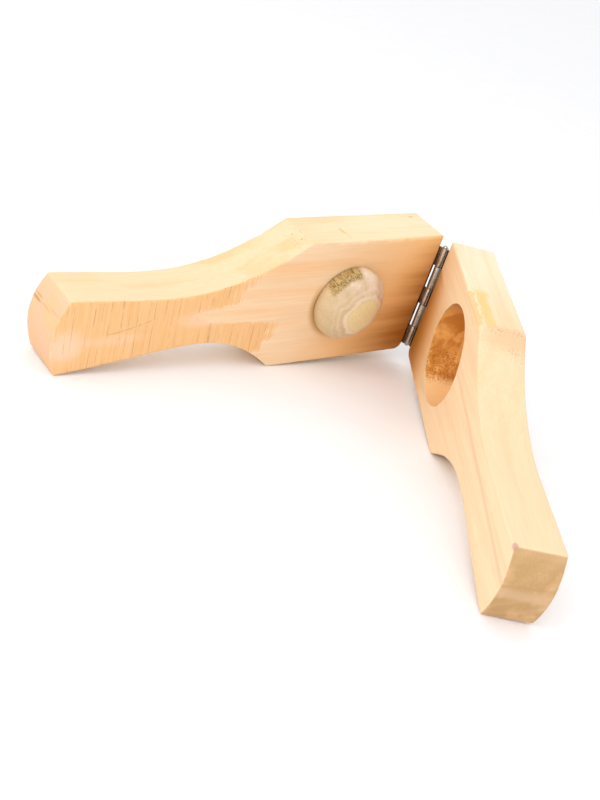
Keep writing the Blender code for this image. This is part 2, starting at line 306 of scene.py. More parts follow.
def boardWood(tree, vector, facing, look):
    # bare wood: pale on the sawn edges, warmer on the broad faces, darker where the fibres end
    grain = useGroup(tree, woodGrain, Vector=vector, Pith=look["pith"], Pitch=look["pitch"])
    parts = split(tree, facing)
    broad = fade(tree, calc(tree, "ABSOLUTE", parts["Y"]), 0.55, 0.9)
    ended = fade(tree, calc(tree, "ABSOLUTE", parts["X"]), 0.5, 0.95)
    headward = fade(tree, split(tree, vector)["X"], *look["headEnd"], 0.8, 0.0)
    colour = tint(tree, headward, look["edgeColour"], look["headPale"])
    colour = tint(tree, broad, colour, look["faceColour"])
    colour = tint(tree, ended, colour, look["endColour"])
    streak = fade(tree, grain["Streaks"], 0.42, 0.68)
    colour = layer(tree, colour, look["streakColour"], streak, look["streaks"])
    colour = layer(tree, colour, look["ringColour"], grain["Rings"], look["rings"])
    fibres = fade(tree, grain["Fibres"], 0.3, 0.75, 1.0 - look["fibres"], 1.0 + look["fibres"] * 0.4)
    return darkened(tree, colour, fibres), grain


def finishWood(tree, shader, look, colour, rough, height):
    tree.links.new(colour, shader.inputs["Base Color"])
    tree.links.new(rough, shader.inputs["Roughness"])
    shader.inputs["Specular IOR Level"].default_value = look["specular"]
    strength, distance = look["relief"]
    bump = addNode(tree, "ShaderNodeBump", {"Height": height, "Strength": strength, "Distance": distance})
    tree.links.new(bump.outputs["Normal"], shader.inputs["Normal"])


# Knob arm

sanding = {"waveScale": 70, "wearScale": 160, "fineScale": 420, "wearFrom": (-0.1, 0.7)}
knobArm = {
    "gridStep": 0.0013,
    "sawStep": 0.00042,
    "sawPitch": 0.0013,
    "sawSlant": 0.055,
    "sawDepth": 0.00009,
    "sawnRagged": 0.006,
    "sawnFade": (-0.009, 0.007),
    "sandedWaves": 0.00006,
    "edgeWear": 0.00022,
    # where the sawn face starts along the arm, at heights from the bottom up
    "sawnEdge": (
        (-26, 104),
        (-18, 98),
        (-10, 94),
        (-6, 98),
        (-3.5, 134),
        (2, 138),
        (6, 124),
        (12, 117),
        (24, 114),
    ),
    # colours, and how strongly each shows
    "pith": (0.0, 46.0, -70.0),
    "pitch": 6.1,
    "edgeColour": (0.92, 0.67, 0.42),
    "faceColour": (0.94, 0.70, 0.46),
    "endColour": (0.83, 0.51, 0.32),
    "streakColour": (0.92, 0.53, 0.23),
    "ringColour": (0.84, 0.52, 0.27),
    "sawnColour": (0.86, 0.48, 0.19),
    "sawnPale": (0.92, 0.60, 0.32),
    "pinkColour": (0.95, 0.64, 0.43),
    "cutColour": (0.50, 0.27, 0.13),
    "oliveColour": (0.66, 0.47, 0.12),
    # painted shade: the warm and the dark tint of the inner face towards the hinge
    "warmShadeColour": (0.93, 0.53, 0.19),
    "shadeColour": (0.41, 0.14, 0.012),
    "headPale": (0.95, 0.76, 0.52),
    # painted shadow round the knob
    "shadowColour": (0.56, 0.31, 0.09),
    "streaks": 0.6,
    "rings": 0.06,
    "fibres": 0.05,
    "cuts": 0.6,
    "specular": 0.12,
    "relief": (0.3, 0.00015),
    "bareRough": 0.66,
    "sawnRough": 0.2,
    # from here on in millimetres, in the arm's own frame
    "innerFade": (-2.4, -1.4),
    "headEnd": (30.0, 100.0),
    # how far the painted shade of the inner face reaches from the hinge
    "warmShadeReach": (26.0, 102.0),
    "shadeReach": (10.0, 60.0),
    "knobShadowReach": (19.0, 23.0),  # a painted shadow crescent round the knob
    "scratch": {"x": 172.0, "z": -1.9, "slope": -0.26, "bend": 0.006, "start": 158.0, "end": 184.0},
    "pinkSpots": (
        ((132.0, -1.2, -0.5), (14.0, 5.0, 4.0), 0.8),
        ((201.0, -1.2, -8.0), (8.0, 5.0, 7.0), 0.9),
        ((178.0, -1.2, -7.0), (14.0, 5.0, 2.5), 0.4),
    ),
    "marks": (
        ((62.0, -11.0, 35.5), (0.9, 2.6, 2.5), 0.6, "oliveColour"),
        ((61.2, -7.0, 35.5), (0.6, 3.0, 2.5), 0.4, "oliveColour"),
        ((10.0, -20.6, 35.5), (1.5, 0.9, 2.0), 0.45, "cutColour"),
        ((207.0, -21.5, 4.4), (3.0, 3.8, 0.7), 0.8, "cutColour"),
        ((207.0, -20.5, 6.2), (3.0, 3.0, 0.5), 0.6, "cutColour"),
        ((207.0, -13.0, 5.0), (3.0, 5.0, 0.5), 0.3, "cutColour"),
        ((207.0, -6.0, 6.5), (3.0, 5.0, 0.5), 0.25, "cutColour"),
    ),
    "shoulderSpecks": ((88.5, -9.0, 34.0), (4.5, 9.0, 5.0)),
}


def between(points, at):
    for (low, first), (high, second) in zip(points, points[1:]):
        if at <= high:
            return first + (second - first) * max(0.0, (at - low) / (high - low))
    return points[-1][1]


def ease(value, low, high):
    share = min(1.0, max(0.0, (value - low) / (high - low)))
    return share * share * (3 - 2 * share)


def plainCopy(node, place):
    # a CAD node's shape in the arm's frame, with its loose triangles joined into flat faces
    bm = bmesh.new()
    bm.from_mesh(frame["nodes"][node].data)
    bmesh.ops.remove_doubles(bm, verts=bm.verts, dist=3e-6)
    bmesh.ops.transform(bm, matrix=place.inverted(), verts=bm.verts)
    bmesh.ops.dissolve_limit(bm, angle_limit=math.radians(0.3), verts=bm.verts, edges=bm.edges)
    return bm


def cutGrid(bm, axis, low, high, step, chosen=None):
    # cuts the mesh, or its chosen faces, across one axis at even steps
    normal = Vector((0, 0, 0))
    normal[axis] = 1
    for number in range(1, math.ceil((high - low) / step)):
        geom = bm.verts[:] + bm.edges[:] + bm.faces[:]
        if chosen:
            faces = [face for face in bm.faces if chosen(face)]
            edges = dict.fromkeys(edge for face in faces for edge in face.edges)
            verts = dict.fromkeys(vert for face in faces for vert in face.verts)
            geom = list(verts) + list(edges) + faces  # each once, in the same order every run
        place = normal * (low + number * step)
        bmesh.ops.bisect_plane(bm, geom=geom, dist=2e-6, plane_co=place, plane_no=normal)


def cutAll(bm, step):
    # the same cuts over the whole piece, along all three axes, just clear of its own corners
    clear = 7e-6
    for axis in range(3):
        values = [vert.co[axis] for vert in bm.verts]
        cutGrid(bm, axis, min(values) + clear, max(values) + clear, step)


def sanded(co, direction, values):
    # how far hand sanding has taken the surface down: slow waves, and more along the edges
    across = abs(direction.y)
    edge = 4 * across * across * (1 - across * across)
    waves = 0.5 + 0.5 * noise.noise(co * sanding["waveScale"])
    wear = noise.noise(co * sanding["wearScale"]) + 0.5 * noise.noise(co * sanding["fineScale"])
    return values["sandedWaves"] * waves + values["edgeWear"] * edge * ease(wear, *sanding["wearFrom"])


def finishPiece(name, bm, place, body, replaced, material, sharp=34):
    bmesh.ops.transform(bm, matrix=place, verts=bm.verts)
    mesh = bpy.data.meshes.new(name)
    bm.to_mesh(mesh)
    bm.free()
    mesh.shade_smooth()
    mesh.set_sharp_from_angle(angle=math.radians(sharp))
    mesh.materials.append(material)
    piece = bpy.data.objects.new(name, mesh)
    bpy.context.scene.collection.objects.link(piece)
    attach(piece, body)
    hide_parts(*replaced)
    return piece


def buildKnobArm(material):
    bm = plainCopy("knob_arm", knobPlace)
    cutAll(bm, knobArm["gridStep"])
    start = min(x for z, x in knobArm["sawnEdge"]) / millimetres - knobArm["sawnRagged"]
    end = max(vert.co.x for vert in bm.verts)

    def onSawnFace(face):
        centre = face.calc_center_median()
        return abs(centre.y + innerFace) < 1e-5 and centre.x > start

    cutGrid(bm, 0, start, end, knobArm["sawStep"], onSawnFace)
    sawn = bm.verts.layers.float.new("sawn")
    bm.normal_update()
    moves = []
    for vert in bm.verts:
        co = vert.co
        down = sanded(co, vert.normal, knobArm)
        # the mask follows the sawn face's own ragged start, and fades out round the arm's edges
        inside = ease(co.y, -innerFace - 0.0009, -innerFace - 0.0001)
        limit = between(knobArm["sawnEdge"], co.z * millimetres) / millimetres
        ragged = knobArm["sawnRagged"] * noise.noise(Vector((co.x * 60, 0, co.z * 220)))
        before, after = knobArm["sawnFade"]
        vert[sawn] = inside * ease(co.x + ragged, limit + before, limit + after)
        # the saw's teeth have left ridges, with a deeper groove here and there
        lane = (co.x - co.z * knobArm["sawSlant"]) / knobArm["sawPitch"]
        ridge = 0.5 + 0.5 * noise.noise(Vector((lane, 3.1, co.z * 30)))
        groove = ease(noise.noise(Vector((lane * 1.6, 7.7, co.z * 60))), 0.1, 0.5)
        moves.append(down + vert[sawn] * knobArm["sawDepth"] * (ridge + groove))
    for vert, down in zip(bm.verts, moves):
        vert.co -= vert.normal * down
    return finishPiece("knobArmWood", bm, knobPlace, "knob_side", ["knob_arm"], material)


def knobArmMaterial():
    look = knobArm
    made, tree, shader = newMaterial("knobArmWood")
    vector = armSpot(tree, knobPlace)
    parts = split(tree, vector)
    colour, grain = boardWood(tree, vector, armFacing(tree, knobPlace), look)
    # the sawn face thins out into separate marks where the sanding begins
    marks = useGroup(tree, sawMarks, Vector=vector)
    onSawn = painted(tree, "sawn")
    fringe = times(tree, calc(tree, "SUBTRACT", marks["Lanes"], 0.5), 2.4)
    sawn = fade(tree, plus(tree, onSawn, fringe), 0.3, 0.62)
    sawn = times(tree, sawn, fade(tree, onSawn, 0.02, 0.3))
    yellow = tint(tree, fade(tree, marks["Lanes"], 0.1, 0.95), look["sawnColour"], look["sawnPale"])
    for centre, size, amount in look["pinkSpots"]:
        yellow = layer(tree, yellow, look["pinkColour"], spotOn(tree, vector, centre, size, 0.6, 1.4), amount)
    yellow = layer(tree, yellow, look["cutColour"], marks["Cuts"], look["cuts"])
    colour = tint(tree, sawn, colour, yellow)
    # a curved scratch on the handle
    scratch = look["scratch"]
    past = calc(tree, "SUBTRACT", parts["X"], scratch["x"])
    curve = times(tree, past, plus(tree, times(tree, past, scratch["bend"]), scratch["slope"]))
    line = fade(tree, offFrom(tree, plus(tree, parts["Z"], -scratch["z"]), curve), 0.15, 0.45, 1.0, 0.0)
    start = fade(tree, parts["X"], scratch["start"], scratch["start"] + 5.0)
    end = fade(tree, parts["X"], scratch["end"] - 5.0, scratch["end"], 1.0, 0.0)
    faint = fade(tree, cloud(tree, vector, 0.4, 2.0), 0.3, 0.55, 0.1, 0.45)
    colour = layer(tree, colour, look["cutColour"], line, start, end, faint, onSawn)
    # painted shade: the inner face is darker and warmer towards the hinge and the lower edge, where the two arms
    # close in
    onInner = fade(tree, parts["Y"], *look["innerFade"])
    corner = plus(tree, parts["X"], times(tree, parts["Z"], 0.42), times(tree, grain["Streaks"], 46.0))
    warm = fade(tree, corner, *look["warmShadeReach"], 0.9, 0.0)
    colour = layer(tree, colour, look["warmShadeColour"], warm, onInner)
    shade = fade(tree, corner, *look["shadeReach"], 1.0, 0.0)
    colour = layer(tree, colour, look["shadeColour"], shade, onInner)
    # painted shadow of the knob: the wood is darker round its rim, towards the handle and below
    fromKnob = acrossFace(tree, vector, knob["centre"])
    beside = split(tree, fromKnob)
    beside = fade(tree, calc(tree, "SUBTRACT", beside["X"], beside["Z"]), 2.0, 22.0)
    crescent = fade(tree, lengthOf(tree, fromKnob), *look["knobShadowReach"], 0.8, 0.0)
    colour = layer(tree, colour, look["shadowColour"], crescent, beside, onInner)
    for centre, size, amount, name in look["marks"]:
        colour = layer(tree, colour, look[name], spotOn(tree, vector, centre, size, 0.5, 0.5), amount)
    specks = fade(tree, cloud(tree, vector, 1.1, 2.0), 0.64, 0.7)
    shoulder = spotOn(tree, vector, *look["shoulderSpecks"], 0.4, 0.5)
    colour = layer(tree, colour, look["cutColour"], specks, shoulder)
    rough = plus(tree, times(tree, sawn, look["sawnRough"]), look["bareRough"])
    height = calc(tree, "SUBTRACT", grain["Fibres"], times(tree, marks["Cuts"], sawn))
    finishWood(tree, shader, look, colour, rough, height)
    return made


# Cup arm

cupArm = {
    "gridStep": 0.0013,
    "cupCentre": (0.0553, 0.0006),
    "cupRadius": 0.025,
    "cupDepth": 0.015,
    "cupStep": 0.0006,
    "tornDepth": 0.0004,
    "tornAngle": 223,
    "sandedWaves": 0.00006,
    "edgeWear": 0.00022,
    "chipStart": 0.049,
    "chipEnd": 0.0825,
    "chipWidth": 0.0098,
    "chipDepth": 0.00018,
    "wornWidth": 0.0036,
    "wornDepth": 0.0011,
    "wallWaves": 0.00004,
    # colours, and how strongly each shows
    "pith": (0.0, -52.0, 64.0),
    "pitch": 7.3,
    "edgeColour": (0.92, 0.67, 0.425),
    "faceColour": (0.935, 0.695, 0.435),
    "endColour": (0.55, 0.335, 0.145),
    "streakColour": (0.92, 0.58, 0.33),
    "ringColour": (0.84, 0.56, 0.33),
    "pinkColour": (0.89, 0.47, 0.29),
    # painted shade: the warm tint of the inner face towards the hinge
    "warmShadeColour": (0.90, 0.50, 0.19),
    # darker heartwood, deepened near the hinge as painted shade
    "tanColour": (0.50, 0.19, 0.02),
    "headPale": (0.96, 0.80, 0.58),
    "chipColour": (0.88, 0.58, 0.23),
    "chipRim": (0.95, 0.80, 0.55),
    "wornColour": (0.89, 0.57, 0.29),
    "cupColour": (0.61, 0.255, 0.048),
    "cupPale": (0.88, 0.47, 0.14),
    "cupFoot": (0.97, 0.66, 0.33),
    "cupShade": (0.46, 0.20, 0.065),
    "tornColour": (0.34, 0.13, 0.02),
    "speckColour": (0.50, 0.26, 0.15),
    "dotColour": (0.55, 0.30, 0.25),
    "bandColour": (0.88, 0.53, 0.31),
    "bandsDark": (0.50, 0.30, 0.13),
    "bandsPale": (0.68, 0.45, 0.27),
    "streaks": 0.4,
    "rings": 0.12,
    "fibres": 0.06,
    "specular": 0.12,
    "relief": (0.2, 0.00012),
    "bareRough": 0.66,
    "tornRough": 0.25,
    # from here on in millimetres, in the arm's own frame
    "innerFade": (1.5, 2.3),
    "headEnd": (30.0, 100.0),
    # both reach out from the hinge as painted shade
    "warmShadeReach": (6.0, 46.0),
    "heartShadeReach": (-2.0, 30.0),
    "heartEdge": (98.0, 116.0),
    "pinkStreak": {"height": 15.4, "slope": 0.078, "wander": 3.0, "width": (0.3, 1.9), "start": (70.0, 96.0)},
    "footEdge": (-22.0, -19.0),
    "shoulderBand": ((85.5, 18.0, 32.0), (6.0, 13.0, 5.0)),
    "shoulderSpecks": (((82.0, 15.0, 33.0), (2.2, 13.0, 4.0)), ((92.0, 20.0, 31.0), (3.5, 6.0, 4.0))),
    "cornerDot": ((200.9, 1.9, 12.2), (1.6, 1.3, 1.6)),
    "endFace": (205.9, 206.3),
}


def buildCupArm(material):
    bm = plainCopy("cup_arm", cupPlace)
    cutAll(bm, cupArm["gridStep"])
    cupX, cupZ = cupArm["cupCentre"]
    radius, depth = cupArm["cupRadius"], cupArm["cupDepth"]

    def fromCup(co):
        return math.hypot(co.x - cupX, co.z - cupZ)

    def onCupWall(face):
        centre = face.calc_center_median()
        inHole = innerFace + 1e-5 < centre.y < innerFace + depth - 1e-5
        return inHole and abs(fromCup(centre) - radius) < 0.0005

    def wander(x, scale, start):
        return noise.noise(Vector((x * scale, start, 0)))

    cutGrid(bm, 1, innerFace, innerFace + depth, cupArm["cupStep"], onCupWall)
    cutGrid(bm, 2, cupZ - radius, cupZ + radius, cupArm["cupStep"], onCupWall)
    torn = bm.verts.layers.float.new("torn")
    chip = bm.verts.layers.float.new("chip")
    worn = bm.verts.layers.float.new("worn")
    bm.normal_update()
    top = max(vert.co.z for vert in bm.verts)
    moves = []
    for vert in bm.verts:
        co = vert.co
        down = sanded(co, vert.normal, cupArm)
        if fromCup(co) < radius + 0.0008 and innerFace - 1e-5 < co.y < innerFace + depth + 0.002:
            # the drill has torn the fibres where it met them end on, low down towards the hinge
            angle = math.atan2(co.z - cupZ, co.x - cupX)
            low = ease(math.cos(angle - math.radians(cupArm["tornAngle"])), 0.90, 0.975)
            pits = ease(noise.noise(co * 900) + 0.4 * noise.noise(co * 2100), 0.0, 0.6)
            vert[torn] = low
            down = low * pits * cupArm["tornDepth"] + cupArm["wallWaves"] * noise.noise(co * 200)
        # a knock has taken the top's inner edge down to a ragged slope, with a shallow dip beyond it
        inLength = ease(co.x, cupArm["chipStart"] - 0.003, cupArm["chipStart"] + 0.004)
        inLength *= ease(-co.x, -cupArm["chipEnd"] - 0.003, -cupArm["chipEnd"] + 0.004)
        inLength *= ease(co.z, top - 0.003, top - 0.0012)
        past = co.y - innerFace
        slope = cupArm["wornWidth"] * (0.75 + 0.3 * (wander(co.x, 110, 5.0) + 0.5 * wander(co.x, 370, 9.0)))
        dip = cupArm["chipWidth"] * (0.85 + 0.25 * wander(co.x, 90, 5.0))
        vert[worn] = inLength * ease(-past, -slope - 0.0003, -slope + 0.0003)
        vert[chip] = inLength * ease(-past, -dip - 0.0012, -dip + 0.0008) * (1 - vert[worn])
        drop = cupArm["wornDepth"] * vert[worn] * (1 - past / (slope + 0.001))
        drop += cupArm["chipDepth"] * vert[chip]
        moves.append((vert.normal * down, drop * (0.8 + 0.3 * noise.noise(co * 260))))
    for vert, (move, sink) in zip(bm.verts, moves):
        vert.co -= move
        vert.co.z -= sink
    return finishPiece("cupArmWood", bm, cupPlace, "cup_side", ["cup_arm"], material)


def cupArmMaterial():
    look = cupArm
    made, tree, shader = newMaterial("cupArmWood")
    vector = armSpot(tree, cupPlace)
    parts = split(tree, vector)
    colour, grain = boardWood(tree, vector, armFacing(tree, cupPlace), look)
    onInner = fade(tree, parts["Y"], *look["innerFade"], 1.0, 0.0)
    # painted shade: warmer on the inner face towards the hinge and low down, where the arms close in
    lower = plus(tree, parts["X"], times(tree, parts["Z"], 0.3))
    warm = fade(tree, lower, *look["warmShadeReach"], 0.95, 0.0)
    low = fade(tree, parts["Z"], -2.0, 24.0, 1.0, 0.25)
    colour = layer(tree, colour, look["warmShadeColour"], warm, onInner, low)
    # darker heartwood on the hinge side of a line that runs down to the cup, made deeper near the hinge as painted
    # shade
    line = plus(tree, parts["X"], times(tree, parts["Z"], 5.0), times(tree, grain["Streaks"], 16.0))
    heart = fade(tree, line, *look["heartEdge"], 1.0, 0.0)
    near = fade(tree, lower, *look["heartShadeReach"], 1.0, 0.05)
    colour = layer(tree, colour, look["tanColour"], heart, near, onInner)
    # a pink streak along the inner face, from the cup to the end
    pink = look["pinkStreak"]
    path = plus(tree, parts["Z"], times(tree, parts["X"], pink["slope"]))
    path = plus(tree, path, times(tree, grain["Streaks"], pink["wander"]))
    streak = fade(tree, offFrom(tree, path, pink["height"]), *pink["width"], 1.0, 0.0)
    start = fade(tree, parts["X"], *pink["start"])
    colour = layer(tree, colour, look["pinkColour"], streak, start, onInner, 0.55)
    # the cup: figured walls, shaded at the top, torn low down, paler along the bottom
    radius, floor = cupArm["cupRadius"] * millimetres, (innerFace + cupArm["cupDepth"]) * millimetres
    reach = lengthOf(tree, acrossFace(tree, vector, cupArm["cupCentre"]))
    inCup = fade(tree, reach, radius + 0.3, radius + 0.7, 1.0, 0.0)
    inCup = times(tree, inCup, fade(tree, parts["Y"], 1.25, 1.5))
    inCup = times(tree, inCup, fade(tree, parts["Y"], floor + 1.8, floor + 2.3, 1.0, 0.0))
    figure = cloud(tree, stretched(tree, vector, (0.14, 0.12, 0.09)), 1.0, 4.0, 0.6, 0.5)
    inside = tint(tree, fade(tree, figure, 0.36, 0.60), look["cupColour"], look["cupPale"])
    inside = tint(tree, fade(tree, parts["Z"], 6.0, 24.0, 0.0, 0.7), inside, look["cupShade"])
    inside = tint(tree, fade(tree, parts["Z"], *look["footEdge"], 0.9, 0.0), inside, look["cupFoot"])
    colour = tint(tree, inCup, colour, inside)
    pits = cloud(tree, stretched(tree, vector, (1.6, 0.9, 1.6)), 1.0, 3.0, 0.6)
    torn = times(tree, painted(tree, "torn"), fade(tree, pits, 0.48, 0.66, 0.0, 0.8))
    colour = tint(tree, torn, colour, look["tornColour"])
    # the knocked edge, with a pale rim between its slope and the dip
    colour = layer(tree, colour, look["chipColour"], painted(tree, "chip"), 0.85)
    worn = painted(tree, "worn")
    colour = tint(tree, fade(tree, worn, 0.4, 0.9), colour, look["wornColour"])
    rim = fade(tree, offFrom(tree, worn, 0.45), 0.1, 0.4, 1.0, 0.0)
    colour = layer(tree, colour, look["chipRim"], rim, 0.4)
    # end fibres show in a speckled band just past the shoulder
    band = spotOn(tree, vector, *look["shoulderBand"], 0.65, 1.6)
    colour = layer(tree, colour, look["bandColour"], band, 0.9)
    specks = fade(tree, cloud(tree, vector, 1.5, 2.5), 0.56, 0.66)
    for centre, size in look["shoulderSpecks"]:
        place = spotOn(tree, vector, centre, size, 0.5, 1.0)
        colour = layer(tree, colour, look["speckColour"], specks, place)
    dot = spotOn(tree, vector, *look["cornerDot"], 0.5, 0.4)
    colour = layer(tree, colour, look["dotColour"], dot, 0.75)
    # the sawn end is banded by its growth rings
    onEnd = fade(tree, parts["X"], *look["endFace"])
    lift = plus(tree, parts["Z"], times(tree, cloud(tree, vector, 0.09, 3.0), 7.0))
    wave = calc(tree, "SINE", times(tree, lift, 1.25))
    high = fade(tree, parts["Z"], -8.0, -3.0)
    colour = layer(tree, colour, look["bandsDark"], fade(tree, wave, 0.1, 1.0), high, onEnd, 0.55)
    colour = layer(tree, colour, look["bandsPale"], fade(tree, parts["Z"], -7.0, -2.0, 1.0, 0.0), onEnd, 0.7)
    rough = plus(tree, times(tree, torn, look["tornRough"]), look["bareRough"])
    finishWood(tree, shader, look, colour, rough, grain["Fibres"])
    return made


# Knob

knob = {
    "centre": (0.0537, 0.0023),
    "radius": 0.0192,
    "base": 0.0003,
    "edge": 0.003,
    "height": 0.013,
    "sideSteps": 192,
    "domeSteps": 26,
    "latheLines": 0.00003,
    "tornDepth": 0.0004,
    "tornAngle": 58,
    "tornSpread": (22, 36),
    "rounding": 0.0005,
    # colours, and how each finish shows
    "paleColour": (0.79, 0.62, 0.46),
    "greyColour": (0.62, 0.45, 0.28),
    "greenColour": (0.62, 0.46, 0.21),
    "heartColour": (0.84, 0.68, 0.36),
    "rimColour": (0.90, 0.75, 0.56),
    "bruiseColour": (0.50, 0.33, 0.10),
    "tornColour": (0.22, 0.13, 0.03),
    # painted shade on the dome's side towards the handle and below
    "domeShadeColour": (0.64, 0.47, 0.25),
    "specular": 0.4,
    "relief": (0.12, 0.0001),
    "turnedRough": 0.4,
    "tornRough": 0.4,
    # from here on in millimetres; each ring mark has a radius, a width and a strength
    "heartShift": (-2.6, -1.8),
    "heartEdge": (8.2, 9.2),
    "ringMarks": ((9.8, 1.5, 0.7), (13.6, 1.2, 0.25), (16.6, 1.0, 0.15)),
    "tornRim": (16.3, 17.5),
}


def buildKnob(material):
    bm = bmesh.new()
    radius, edge, height = knob["radius"], knob["edge"], knob["height"]
    base, rounding = knob["base"], knob["rounding"]
    profile = [(0, base), (radius - rounding, base), (radius, base + rounding)]
    for step in range(knob["domeSteps"] + 1):
        angle = math.pi / 2 * step / knob["domeSteps"]
        profile.append((radius * math.cos(angle), edge + (height - edge) * math.sin(angle)))
    verts = [bm.verts.new((across, 0, up)) for across, up in profile]
    edges = [bm.edges.new(pair) for pair in zip(verts, verts[1:])]
    bmesh.ops.spin(
        bm,
        geom=verts + edges,
        cent=(0, 0, 0),
        axis=(0, 0, 1),
        angle=2 * math.pi,
        steps=knob["sideSteps"],
        use_merge=True,
    )
    bmesh.ops.remove_doubles(bm, verts=bm.verts, dist=1e-6)
    bmesh.ops.recalc_face_normals(bm, faces=bm.faces)
    bm.normal_update()
    near, far = knob["tornSpread"]
    moves = []
    for vert in bm.verts:
        co = vert.co
        reach = math.hypot(co.x, co.y)
        turn = math.degrees(math.atan2(co.y, co.x)) - knob["tornAngle"]
        turn = (turn + 180) % 360 - 180
        onRim = ease(reach, radius * 0.78, radius * 0.9) * ease(-abs(turn), -far, -near)
        onRim *= ease(co.z, 0.0015, 0.003)
        pits = ease(noise.noise(Vector((turn * 0.42, reach * 180, co.z * 60))), -0.05, 0.3)
        lines = 0.5 + 0.5 * noise.noise(Vector((reach * 1500, 1.0, 2.0)))
        moves.append(knob["latheLines"] * lines + knob["tornDepth"] * onRim * pits)
    for vert, down in zip(bm.verts, moves):
        vert.co -= vert.normal * down
    # the knob's own z points across the gap to the cup
    stand = Matrix(((1, 0, 0), (0, 0, 1), (0, 1, 0))).to_4x4()
    stand.translation = (knob["centre"][0], -innerFace, knob["centre"][1])
    bmesh.ops.transform(bm, matrix=stand, verts=bm.verts)
    bmesh.ops.reverse_faces(bm, faces=bm.faces)
    return finishPiece("turnedKnob", bm, knobPlace, "knob_side", ["knob"], material, 50)


def knobMaterial():
    look = knob
    made, tree, shader = newMaterial("turnedKnobWood")
    vector = armSpot(tree, knobPlace)
    patches = fade(tree, cloud(tree, vector, 0.13, 3.0, 0.5), 0.34, 0.66)
    colour = tint(tree, patches, look["greyColour"], look["paleColour"])
    green = fade(tree, cloud(tree, vector, 0.2, 3.0, 0.6), 0.52, 0.72, 0.0, 0.5)
    colour = tint(tree, green, colour, look["greenColour"])
    # the rings are cut by the dome, so they close round a point a little below its top
    fromHeart = acrossFace(tree, vector, knob["centre"], look["heartShift"])
    warp = cloud(tree, vector, 0.12, 2.0)
    reach = lengthOf(tree, stretched(tree, fromHeart, (1.0, 0.0, 0.95)))
    reach = plus(tree, reach, times(tree, calc(tree, "SUBTRACT", warp, 0.5), 6.0))
    # painted shade: the dome is duller on its side towards the handle and the lower edge
    side = split(tree, fromHeart)
    side = calc(tree, "SUBTRACT", side["X"], side["Z"])
    colour = tint(tree, fade(tree, side, -14.0, 20.0, 0.0, 0.8), colour, look["domeShadeColour"])
    for ring, width, amount in look["ringMarks"]:
        line = fade(tree, offFrom(tree, reach, ring), width * 0.3, width, 1.0, 0.0)
        colour = layer(tree, colour, look["rimColour"], line, amount)
    colour = layer(tree, colour, look["heartColour"], fade(tree, reach, *look["heartEdge"], 1.0, 0.0), 0.9)
    colour = darkened(tree, colour, fade(tree, cloud(tree, vector, 1.6, 4.0, 0.7), 0.3, 0.7, 0.90, 1.05))
    # short strokes of torn end fibres on part of the rim
    across = acrossFace(tree, vector, knob["centre"])
    parts = split(tree, across)
    turn = calc(tree, "DEGREES", calc(tree, "ARCTAN2", parts["Z"], parts["X"]))
    out = lengthOf(tree, across)
    sweep = plus(tree, offFrom(tree, turn, knob["tornAngle"]), times(tree, warp, 14.0))
    bruise = times(tree, fade(tree, sweep, 30.0, 42.0, 1.0, 0.0), fade(tree, out, *look["tornRim"]))
    colour = layer(tree, colour, look["bruiseColour"], bruise, 0.8)
    skewed = plus(tree, turn, times(tree, out, 2.2))
    lane = joined(tree, X=times(tree, skewed, 0.5), Y=times(tree, out, 1.5))
    torn = times(tree, fade(tree, cloud(tree, lane, 1.0, 3.0, 0.7), 0.46, 0.58), bruise)
    colour = tint(tree, torn, colour, look["tornColour"])
    rough = plus(tree, times(tree, torn, look["tornRough"]), look["turnedRough"])
    finishWood(tree, shader, look, colour, rough, cloud(tree, vector, 2.5, 3.0))
    return made


# Hinge and screws

screws = {
    "steelColour": (0.62, 0.55, 0.40),
    "stainColour": (0.25, 0.20, 0.12),
    "paleColour": (0.80, 0.76, 0.66),
    # painted shade beside the barrel, off for the screws
    "seamShadeColour": (0.05, 0.035, 0.02),
    "seamShade": 0.0,
    "stains": 0.4,
    "rough": (0.2, 0.34),
}


def steelMaterial(name, look):
    made, tree, shader = newMaterial(name)
    vector = addNode(tree, "ShaderNodeTexCoord").outputs["Object"]
    vector = stretched(tree, vector, (millimetres, millimetres, millimetres))
    film = fade(tree, cloud(tree, vector, 0.35, 4.0, 0.6), 0.3, 0.7)
    colour = tint(tree, film, look["steelColour"], look["paleColour"])
    stain = fade(tree, cloud(tree, vector, 1.5, 5.0, 0.7, 0.4), 0.52, 0.7)
    colour = layer(tree, colour, look["stainColour"], stain, look["stains"])
    # painted shade in the corner beside the barrel, where the wood keeps the light off the leaf
    reach = lengthOf(tree, stretched(tree, armSpot(tree, knobPlace), (1.0, 1.0, 0.0)))
    seamShade = times(tree, fade(tree, reach, 1.74, 1.95), fade(tree, reach, 2.6, 4.5, 1.0, 0.0))
    colour = layer(tree, colour, look["seamShadeColour"], seamShade, look["seamShade"])
    tree.links.new(colour, shader.inputs["Base Color"])
    shader.inputs["Metallic"].default_value = 1.0
    drawn = cloud(tree, stretched(tree, vector, (6.0, 6.0, 0.3)), 1.0, 3.0)
    tree.links.new(fade(tree, drawn, 0.3, 0.7, *look["rough"]), shader.inputs["Roughness"])
    bump = addNode(tree, "ShaderNodeBump", {"Height": drawn, "Strength": 0.15, "Distance": 0.00004})
    tree.links.new(bump.outputs["Normal"], shader.inputs["Normal"])
    return made


